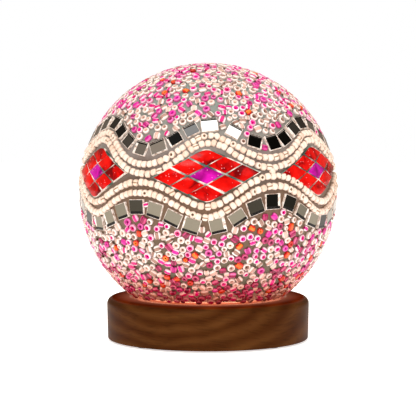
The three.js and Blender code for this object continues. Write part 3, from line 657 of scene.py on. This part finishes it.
def layMirrors(side):
    # one course of tiles: the glass, its silver, and the dark strips along the outward edge
    glass, silver, seams = bmesh.new(), bmesh.new(), bmesh.new()
    paintedReflection = silver.verts.layers.float.new("paintedReflection")
    outward = 1 if side == "upper" else -1
    rim, seam, thickness = mirrors["rim"], mirrors["seam"], mirrors["thickness"]
    top = thickness / 2 + mirrors["silverDepth"] / 2
    course = walk(mirrors[side], mirrors["pitch"][side], 0.05, mirrors["start"][side],
                  mirrors["loose"][side])
    for index, (longitude, latitude, slope, share) in enumerate(course):
        steep = math.cos(math.radians(slope))
        width = dice.uniform(*mirrors["width"]) * mm
        height = dice.uniform(*mirrors["height"]) * mm * (0.35 + 0.65 * steep)
        turn = slope + dice.uniform(-5, 5)
        place = onGlobe(longitude, latitude + dice.uniform(-0.3, 0.3), turn,
                        globe["adhesive"] * 0.3 + thickness / 2)
        tiles[side].append((place.inverted(), width / 2, height / 2))
        addCopy(glass, bevelledBox(width, height, thickness, mirrors["bevel"]), place)
        bare = dice.choice(mirrors["bare"]) * mm
        face = bevelledBox(width - 2 * rim - bare, height - 2 * rim - seam, mirrors["silverDepth"], 0.03 * mm)
        shift = Vector((dice.choice((-0.5, 0.5)) * bare, -outward * seam / 2, top))
        known = len(silver.verts)
        addCopy(silver, face, place @ Matrix.Translation(shift))
        tone = mirrorReflectionShare(side, index, len(course))
        silver.verts.ensure_lookup_table()
        for vert in silver.verts[known:]:
            vert[paintedReflection] = tone
        for start, end in mirrors["strips"][side]:
            strip = bevelledBox(width - 2.6 * rim, seam * (end - start), mirrors["seamDepth"], 0.02 * mm)
            across = outward * (height / 2 - rim - seam * (start + end) / 2)
            addCopy(seams, strip, place @ Matrix.Translation((0, across, top)))
    replaced = [side + "_mirror_course"]
    addPiece(side + "MirrorGlass", glass, "tileEdge", "globe", replaced)
    addPiece(side + "MirrorSilver", silver, "silver", "globe", replaced)
    addPiece(side + "MirrorSeams", seams, "seam", "globe", replaced)


for side in ("upper", "lower"):
    layMirrors(side)
print("mirrors laid")


diamonds = {
    # centre longitude, latitude, half width and half height in degrees, and turn, each as a hand lays it
    "laid": [(-0.7, 11.2, 24.2, 12.0, 3.0), (57.2, 11.6, 23.6, 11.6, 1.0), (120, 11.0, 23.2, 11.7, -1.5),
             (180, 11.5, 23.8, 11.9, 2.0), (239.5, 11.0, 23.0, 11.6, -1.0), (300.3, 10.8, 20.9, 11.8, 2.0)],
    "gap": 0.5 * mm, "thickness": 2.0 * mm, "bevel": 0.15 * mm, "blunt": 3.6 * mm, "bedding": 1.6 * mm,
}


def rhombusTile(halfWidth, halfHeight, thickness, bevel, blunt=0):
    # a lozenge of glass; blunt rounds its upper corner (1) or its lower corner (-1)
    bm = bmesh.new()
    bmesh.ops.create_cube(bm, size=1.0)
    bmesh.ops.rotate(bm, verts=bm.verts[:], cent=(0, 0, 0), matrix=Matrix.Rotation(math.pi / 4, 3, "Z"))
    spread = math.sqrt(2)
    bmesh.ops.scale(bm, vec=(halfWidth * spread, halfHeight * spread, thickness), verts=bm.verts[:])
    upright = [edge for edge in bm.edges if abs(edge.verts[0].co.z - edge.verts[1].co.z) > thickness / 2]
    corner = [edge for edge in upright if blunt * edge.verts[0].co.y > halfHeight / 2]
    if corner:
        bmesh.ops.bevel(bm, geom=corner, offset=diamonds["blunt"], segments=4, profile=0.5,
                        affect="EDGES", material=-1)
    rims = [edge for edge in bm.edges if edge.verts[0].co.z > 0 and edge.verts[1].co.z > 0]
    if bevel:
        bmesh.ops.bevel(bm, geom=rims, offset=bevel, segments=2, profile=0.5, affect="EDGES", material=-1)
    mesh = bpy.data.meshes.new("tile")
    bm.to_mesh(mesh)
    bm.free()
    return mesh


def layDiamond(number):
    # eight red tiles and a magenta one in the middle, each bedded in glue that shows between them
    centre, latitude, wide, high, turn = diamonds["laid"][number]
    across = math.cos(math.radians(latitude))
    halfWidth = wide * degreeLength * across / 3
    halfHeight = high * degreeLength / 3
    inradius = halfWidth * halfHeight / math.hypot(halfWidth, halfHeight)
    keep = 1 - diamonds["gap"] / 2 / inradius
    red, heart, bedding = bmesh.new(), bmesh.new(), bmesh.new()
    for i in (-1, 0, 1):
        for j in (-1, 0, 1):
            size = keep * dice.uniform(0.97, 1.01)
            blunt = i if i == j else 0
            lon = centre + (i - j) * wide / 3
            lat = latitude + (i + j) * high / 3 + (i - j) * wide / 3 * math.tan(math.radians(turn)) * across
            base = globe["adhesive"] * 0.3
            slant = turn * (1 - abs(i + j) / 2) + dice.uniform(-1.2, 1.2)
            tile = rhombusTile(halfWidth * size, halfHeight * size, diamonds["thickness"],
                               diamonds["bevel"], blunt)
            addCopy(heart if i == 0 and j == 0 else red, tile,
                    onGlobe(lon, lat, slant, base + diamonds["thickness"] / 2))
            bed = rhombusTile(halfWidth * (keep + 0.1), halfHeight * (keep + 0.1),
                              diamonds["bedding"], 0, blunt)
            addCopy(bedding, bed, onGlobe(lon, lat, turn, base + diamonds["bedding"] / 2))
    label = str(number + 1)
    addPiece("redDiamond" + label, red, "redGlass", "globe", ["red_diamond_" + label])
    addPiece("magentaHeart" + label, heart, "magentaGlass", "globe",
             ["magenta_tile_" + label])
    addPiece("tileBedding" + label, bedding, "bedding", "globe", ["red_diamond_" + label])


for number in range(6):
    layDiamond(number)
print("diamonds laid")


# Bead fields: seed beads strewn as close as they will lie

# sizes are bead radii in mm, and worn is how much smaller the last beads thrown are; a mix is read from its
# start, each kind with the roll it holds up to at the mirrors and what that gains towards the foot
fields = {
    "upper": {"low": wave(26.2, 5.6), "high": lambda longitude: 90.0, "tiles": tiles["upper"],
              "first": [(7.6, 33.4), (19.6, 29.6)], "kinds": ("white", "pink", "magenta", "orange"),
              "mix": [("orange", 0.045, 0), ("pink", 0.4, 0), ("magenta", 0.52, 0)]},
    "lower": {"low": lambda longitude: globe["skirt"], "high": wave(-4.0, -5.6), "tiles": tiles["lower"],
              "first": [(-2.6, -12.2)], "kinds": ("white", "pink", "magenta", "plum", "orange"),
              "mix": [("orange", 0.045, 0), ("pink", 0.31, 0), ("magenta", 0.38, 0.06),
                      ("plum", 0.46, 0.25)]},
    "sizes": (1.95, 2.6), "worn": 0.45, "firstSize": 2.0, "throws": 40000, "lowest": -0.81,
    "closeness": 0.82, "rounds": 16, "clearance": 0.98, "push": 0.4, "lift": 1.2 * mm,
    "halfHeight": 1.4 * mm, "lying": 0.42, "mirrorZone": (-25, 44), "reach": 0.8 * mm, "near": 9 * mm,
}
fieldRadius = (globe["glassRadius"] + fields["lift"]) / mm


def spotAt(longitude, latitude):
    # from the globe's centre, in mm
    lon, lat = math.radians(longitude), math.radians(latitude)
    out = Vector((math.cos(lat) * math.sin(lon), -math.cos(lat) * math.cos(lon), math.sin(lat)))
    return out * fieldRadius


def angles(spot):
    # longitude and latitude of a spot
    return math.degrees(math.atan2(spot.x, -spot.y)), math.degrees(math.asin(spot.z / spot.length))


def inside(field, spot, size):
    # within the field's two edges and clear of every mirror
    longitude, latitude = angles(spot)
    if not field["low"](longitude) < latitude < field["high"](longitude):
        return False
    if not fields["mirrorZone"][0] < latitude < fields["mirrorZone"][1]:
        return True
    place, reach = globeCentre + spot * mm, size * fields["reach"]
    for toTile, halfWidth, halfHeight in field["tiles"]:
        local = toTile @ place
        beside = abs(local.x) < halfWidth + reach and abs(local.y) < halfHeight + reach
        if beside and abs(local.z) < fields["near"]:
            return False
    return True


def cellOf(spot):
    return tuple(math.floor(v / (2 * fields["sizes"][1])) for v in spot)


def neighbours(cells, key):
    # every bead in the cell and in the ones round it
    for x in (-1, 0, 1):
        for y in (-1, 0, 1):
            for z in (-1, 0, 1):
                yield from cells.get((key[0] + x, key[1] + y, key[2] + z), ())


def strew(field):
    # throws beads at the field and keeps each one that lands nearly clear of the rest
    kept, cells = [], {}
    for index, spot in enumerate(field["first"]):
        kept.append([spotAt(*spot), fields["firstSize"]])
        cells.setdefault(cellOf(kept[-1][0]), []).append(index)
    for throw in range(fields["throws"]):
        spot = spotAt(dice.uniform(0, 360), math.degrees(math.asin(dice.uniform(fields["lowest"], 1.0))))
        worn = fields["worn"] * throw / fields["throws"]
        size = dice.uniform(fields["sizes"][0] - worn, fields["sizes"][1] - worn)
        if not inside(field, spot, size):
            continue
        key = cellOf(spot)
        if all((spot - kept[other][0]).length > fields["closeness"] * (size + kept[other][1])
               for other in neighbours(cells, key)):
            cells.setdefault(key, []).append(len(kept))
            kept.append([spot, size])
    return kept


def settle(field, kept):
    # neighbours that still touch push each other apart until the beads lie evenly
    for _ in range(fields["rounds"]):
        cells = {}
        for index, (spot, size) in enumerate(kept):
            cells.setdefault(cellOf(spot), []).append(index)
        pushes = [Vector() for item in kept]
        for index, (spot, size) in enumerate(kept):
            for other in neighbours(cells, cellOf(spot)):
                if other <= index:
                    continue
                apart = spot - kept[other][0]
                short = fields["clearance"] * (size + kept[other][1]) - apart.length
                if short > 0:
                    push = apart.normalized() * short * fields["push"]
                    pushes[index] += push
                    pushes[other] -= push
        for item, push in zip(kept, pushes):
            moved = (item[0] + push).normalized() * fieldRadius
            if inside(field, moved, item[1]):
                item[0] = moved
    return kept


def beadKind(side, latitude):
    # which of the strung colours comes to hand; magenta and plum grow commoner towards the foot
    roll = dice.random()
    depth = max(0.0, (fields["mirrorZone"][0] - latitude) / 28)
    for kind, upTo, gain in fields[side]["mix"]:
        if roll < upTo + gain * depth:
            return kind
    return "white"


def layField(side):
    # one piece for each kind of bead, every bead turned and tipped its own way
    kinds = {kind: bmesh.new() for kind in fields[side]["kinds"]}
    for bm in kinds.values():
        newBeadLayers(bm)
    spots = settle(fields[side], strew(fields[side]))
    for spot, size in spots:
        longitude, latitude = angles(spot)
        lying = dice.random() < fields["lying"]
        template = lyingBead if lying else standingBead
        across = size * mm * (0.92 if lying else 1.0)
        along = size * mm * (1.12 if lying else 1.0)
        place = onGlobe(longitude, latitude, dice.uniform(0, 360), fields["lift"] * dice.uniform(0.95, 1.1),
                        dice.uniform(-12, 12))
        shape = Matrix.Diagonal((along, across, fields["halfHeight"] * (1.0 if lying else 1.1), 1))
        addCopy(kinds[beadKind(side, latitude)], template, place @ shape)
    print(side, "field holds", len(spots), "beads")
    for kind, bm in kinds.items():
        addPiece(side + kind.capitalize() + "Beads", bm, kind + "Beads", "globe",
                 [side + "_bead_field"], 180)


for side in ("upper", "lower"):
    layField(side)


def layAdhesive():
    # the skin of clear glue that beads and tiles are pressed into
    bm = bmesh.new()
    radius = globe["glassRadius"]
    outer, inner = radius + globe["adhesive"], radius + 0.1 * mm
    profile = arc(0, 0, outer, globe["skirt"] - 1, 90, 56) + arc(0, 0, inner, 90, globe["skirt"] - 1, 56)
    profile[56] = (0, outer)
    profile[57] = (0, inner)
    spinProfile(bm, profile + profile[:1], 128)
    bmesh.ops.translate(bm, vec=globeCentre, verts=bm.verts[:])
    addPiece("clearAdhesive", bm, "adhesive", "globe")


layAdhesive()
print("adhesive laid")


# Wooden base and what is let into it

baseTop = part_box("wooden_base")[1].z
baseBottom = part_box("wooden_base")[0].z
wood = {"radius": 62.8 * mm, "taper": 0.5 * mm, "topRound": 4.3 * mm, "bottomRound": 1.0 * mm, "steps": 160,
        "gap": 0.3 * mm, "grooveIn": 38.2 * mm, "pocket": 33 * mm, "opening": 24 * mm, "cavity": 42 * mm,
        "web": 5 * mm, "coverDepth": 2.3 * mm}
rear = {"height": 12 * mm, "button": 15, "socket": -15, "face": 60.0 * mm, "faceRadius": 8.3 * mm,
        "bore": 6.3 * mm, "steps": 64}


def atRear(turn):
    # frame whose z runs from the lamp's axis out through a rear fitting
    return (Matrix.Translation((0, 0, rear["height"])) @ Matrix.Rotation(math.radians(turn), 4, "Z")
            @ Matrix.Rotation(-math.pi / 2, 4, "X"))


def rod(radius, start, end, place, farRadius=None, steps=48):
    bm = bmesh.new()
    bmesh.ops.create_cone(bm, cap_ends=True, segments=steps, radius1=radius, depth=end - start,
                          radius2=radius if farRadius is None else farRadius)
    bmesh.ops.translate(bm, vec=(0, 0, (start + end) / 2), verts=bm.verts[:])
    bm.transform(place)
    return bm


def cut(piece, cutters, sharpFrom=38):
    # takes each cutter out of the piece for good
    for bm in cutters:
        mesh = bpy.data.meshes.new("cutter")
        bm.to_mesh(mesh)
        bm.free()
        cutter = bpy.data.objects.new("cutter", mesh)
        bpy.context.collection.objects.link(cutter)
        change = piece.modifiers.new("cut", "BOOLEAN")
        change.object = cutter
        change.solver = "EXACT"
        bpy.context.view_layer.update()
        done = bpy.data.meshes.new_from_object(piece.evaluated_get(bpy.context.evaluated_depsgraph_get()))
        piece.modifiers.clear()
        piece.data = done
        bpy.data.objects.remove(cutter)
    piece.data.shade_smooth()
    piece.data.set_sharp_from_angle(angle=math.radians(sharpFrom))


def turnBase():
    # outline round the outer face, over the top, down the ring's groove and in through the light's well
    bm = bmesh.new()
    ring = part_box("seat_ring")
    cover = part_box("base_cover")
    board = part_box("light_board")
    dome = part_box("opal_diffuser")
    gap = wood["gap"]
    side = wood["radius"] - wood["taper"]
    grooveIn, grooveOut, grooveFloor = wood["grooveIn"], ring[1].x + gap, ring[0].z - gap
    recess, pocket, opening, cavity = dome[1].x + gap, wood["pocket"], wood["opening"], wood["cavity"]
    ledge = board[0].z - gap
    cavityTop = ledge - wood["web"]
    coverRim = cover[1].x + gap
    coverTop = baseBottom + wood["coverDepth"]
    low, high = baseBottom + wood["bottomRound"], baseTop - wood["topRound"]
    profile = [(coverRim, baseBottom)]
    profile += arc(side - wood["bottomRound"], low, wood["bottomRound"], -90, 0, 6)
    profile += arc(wood["radius"] - wood["topRound"], high, wood["topRound"], 0, 90, 10)
    profile += [(grooveOut, baseTop), (grooveOut, grooveFloor), (grooveIn, grooveFloor), (grooveIn, baseTop),
                (recess, baseTop), (recess, dome[0].z - gap), (pocket, dome[0].z - gap), (pocket, ledge),
                (opening, ledge), (opening, cavityTop), (cavity, cavityTop), (cavity, coverTop),
                (coverRim, coverTop), (coverRim, baseBottom)]
    spinProfile(bm, profile, wood["steps"])
    piece = addPiece("turnedBase", bm, "walnut", "root", ["wooden_base"])
    cutters = []
    for turn in (rear["button"], rear["socket"]):
        cutters.append(rod(rear["faceRadius"], rear["face"], rear["face"] + 6 * mm, atRear(turn)))
        cutters.append(rod(rear["bore"], 38 * mm, rear["face"] + 1 * mm, atRear(turn)))
    for number in range(1, 5):
        low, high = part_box(f"rubber_foot_{number}")
        middle = (low + high) / 2
        cutters.append(rod((high.x - low.x) / 2 + 0.15 * mm, 0, high.z + 0.1 * mm,
                           Matrix.Translation((middle.x, middle.y, 0))))
    cut(piece, cutters)


def addSpun(name, profile, finish, body, replaced, place=None, steps=96):
    # a turned piece from an outline of (radius, height) in mm
    bm = bmesh.new()
    spinProfile(bm, [(x * mm, z * mm) for x, z in profile], steps)
    if place:
        bm.transform(place)
    return addPiece(name, bm, finish, body, replaced)


def stadium(width, height, start, end, place):
    # a slot-shaped rod along z
    bm = bmesh.new()
    bmesh.ops.create_cube(bm, size=1.0)
    bmesh.ops.scale(bm, vec=(width, height, end - start), verts=bm.verts[:])
    bmesh.ops.translate(bm, vec=(0, 0, (start + end) / 2), verts=bm.verts[:])
    upright = [edge for edge in bm.edges if abs(edge.verts[0].co.z - edge.verts[1].co.z) > (end - start) / 2]
    bmesh.ops.bevel(bm, geom=upright, offset=height * 0.499, segments=10, profile=0.5, affect="EDGES",
                    material=-1)
    bm.transform(place)
    return bm


def fitRear():
    # the push button with its dished cap, and the power inlet with its slot
    bezel = [(7.2, 61.8), (7.8, 61.6), (8.0, 61.1), (8.0, 60.3), (6.0, 60.3), (6.0, 37.0)]
    addSpun("buttonBezel", [(3.75, 61.4), (4.1, 61.8)] + bezel + [
        (1.7, 37.0), (1.7, 51.7), (4.4, 51.7), (4.4, 60.7), (3.75, 60.7), (3.75, 61.4),
    ], "blackPlastic", "root", ["button_housing"], atRear(rear["button"]), rear["steps"])
    addSpun("buttonCap", [
        (0, 63.55), (1.6, 63.65), (2.5, 63.92), (2.75, 64.0), (3.1, 63.93), (3.33, 63.7), (3.4, 63.3),
        (3.4, 60.5), (4.05, 60.5), (4.05, 59.0), (1.4, 59.0), (1.4, 37.5), (1.2, 37.3), (0, 37.3),
    ], "nickel", "button", ["push_button"], atRear(rear["button"]), rear["steps"])
    housing = addSpun("socketBezel", [(0, 61.8)] + bezel + [(0, 37.0)], "blackPlastic", "root",
                      ["socket_housing"], atRear(rear["socket"]), rear["steps"])
    cut(housing, [stadium(9.1 * mm, 3.4 * mm, 40 * mm, 63 * mm, atRear(rear["socket"]))])


def fitUnderside():
    # cover plate with countersunk cross-head screws, and four rubber feet
    cover = addSpun("coverPlate", [
        (0, 1.0), (46.2, 1.0), (46.7, 1.4), (46.7, 3.0), (0, 3.0),
    ], "blackPlastic", "root", ["base_cover"], steps=128)
    cutters = []
    for number in range(1, 5):
        low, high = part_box(f"cover_screw_{number}")
        middle = (low + high) / 2
        at = Matrix.Translation((middle.x, middle.y, 0))
        cutters.append(rod(2.85 * mm, 0.9 * mm, 2.4 * mm, at, 1.6 * mm))
        cutters.append(rod(1.6 * mm, 2.3 * mm, 3.2 * mm, at))
        screw = addSpun(f"coverScrew{number}", [
            (0, 1.1), (2.3, 1.1), (2.6, 1.2), (1.45, 2.35), (1.45, high.z / mm - 1.2), (0.3, high.z / mm),
            (0, high.z / mm),
        ], "steel", "root", [f"cover_screw_{number}"], at, 32)
        turned = at @ Matrix.Rotation(0.3 + 0.7 * number, 4, "Z")
        crossed = turned @ Matrix.Rotation(math.pi / 2, 4, "Z")
        cut(screw, [stadium(2.9 * mm, 0.55 * mm, 0.9 * mm, 1.9 * mm, way) for way in (turned, crossed)])
        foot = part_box(f"rubber_foot_{number}")
        middle = (foot[0] + foot[1]) / 2
        addSpun(f"rubberFoot{number}", [
            (0, 0.15), (3.0, 0.05), (3.6, 0), (4.3, 0.12), (4.7, 0.45), (4.8, 0.9), (4.8, 2.2), (0, 2.2),
        ], "rubber", "root", [f"rubber_foot_{number}"],
            Matrix.Translation((middle.x, middle.y, 0)), 40)
    cut(cover, cutters)


def fitLightWell():
    # the soft ring under the glass, and the blown globe itself with its cut lip rounded over
    bm = bmesh.new()
    edges = arc(43.2, 26.8, 0.4, 0, 90, 4) + arc(38.96, 26.8, 0.4, 90, 180, 4)
    foot = [(38.56, 25.0), (43.6, 25.0), (43.6, 26.8)]
    spinProfile(bm, [(x * mm, z * mm) for x, z in edges + foot], 128)
    addPiece("seatRing", bm, "silicone", "root", ["seat_ring"])
    bm = bmesh.new()
    outer, inner = globe["glassRadius"], globe["glassRadius"] - 2 * mm
    lip, poleSteps = -56.55, 72
    profile = arc(0, 0, outer, lip, 90, poleSteps) + arc(0, 0, inner, 90, lip, poleSteps)
    profile[poleSteps] = (0, outer)
    profile[poleSteps + 1] = (0, inner)
    middle = Vector(profile[0]).lerp(Vector(profile[-1]), 0.5)
    away = Vector((math.sin(math.radians(lip)), -math.cos(math.radians(lip)))) * 0.25 * mm
    spinProfile(bm, profile + [tuple(middle + away), profile[0]], 128)
    bmesh.ops.translate(bm, vec=globeCentre, verts=bm.verts[:])
    addPiece("blownGlobe", bm, "glass", "globe", ["glass_globe"])


turnBase()
fitRear()
fitUnderside()
fitLightWell()
print("base turned and fitted")


# CAD nodes that stay get their finishes here, by name or by the start of it
nodeFinishes = {
    "opal_diffuser": "opal", "diffuser_collar": "brass", "collar_screw": "brass",
    "light_board": "board", "board_screw": "steel", "led_": "led",
    "driver_board": "driver", "driver_coil": "ferrite", "driver_chip": "blackPlastic",
    "driver_screw": "steel", "switch_block": "blackPlastic", "button_spring": "nickel",
    "power_socket": "nickel", "socket_tongue": "blackPlastic",
    "light_lead": "lead", "socket_lead": "lead", "switch_lead": "lead",
}

for name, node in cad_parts.items():
    for start, finish in nodeFinishes.items():
        if name.startswith(start):
            node.data.materials.clear()
            node.data.materials.append(finishes[finish])
print("nodes finished")


# Floor and studio light

studio = {
    "room": linear("#b4a08e"), "backdrop": linear("#ffffff"), "floor": 1.8,
    # each light's place, size and power
    "lights": {"key": ((-0.5, -1.3, 1.2), 0.6, 11.0), "fill": ((0.9, -0.9, 0.7), 0.8, 3.6),
               "top": ((0.0, -0.1, 1.7), 2.2, 18.0)},
}


def addArea(name, location, size, power):
    light = bpy.data.lights.new(name, "AREA")
    light.size = size
    light.energy = power
    lamp = bpy.data.objects.new(name, light)
    lamp.location = location
    lamp.rotation_euler = (Vector((0, 0, 0.09)) - Vector(location)).to_track_quat("-Z", "Y").to_euler()
    bpy.context.collection.objects.link(lamp)


def buildStudio():
    # the room is dimmer than the white backdrop, so mirrors and varnish keep their depth
    world = bpy.data.worlds.new("studioWorld")
    world.use_nodes = True
    tree = world.node_tree
    seen = tree.nodes.new("ShaderNodeLightPath").outputs["Is Camera Ray"]
    choice = tree.nodes.new("ShaderNodeMix")
    choice.data_type = "RGBA"
    choice.inputs["A"].default_value = studio["room"]
    choice.inputs["B"].default_value = studio["backdrop"]
    tree.links.new(seen, choice.inputs["Factor"])
    tree.links.new(choice.outputs[2], tree.nodes["Background"].inputs["Color"])
    bpy.context.scene.world = world
    bm = bmesh.new()
    bmesh.ops.create_grid(bm, x_segments=1, y_segments=1, size=studio["floor"])
    mesh = bpy.data.meshes.new("floor")
    bm.to_mesh(mesh)
    bm.free()
    mesh.materials.append(paleFloor())
    floor = bpy.data.objects.new("floor", mesh)
    bpy.context.collection.objects.link(floor)
    for name, (location, size, power) in studio["lights"].items():
        addArea(name + "Light", location, size, power)


buildStudio()
bpy.context.scene.view_settings.view_transform = "Standard"
print("studio lit")
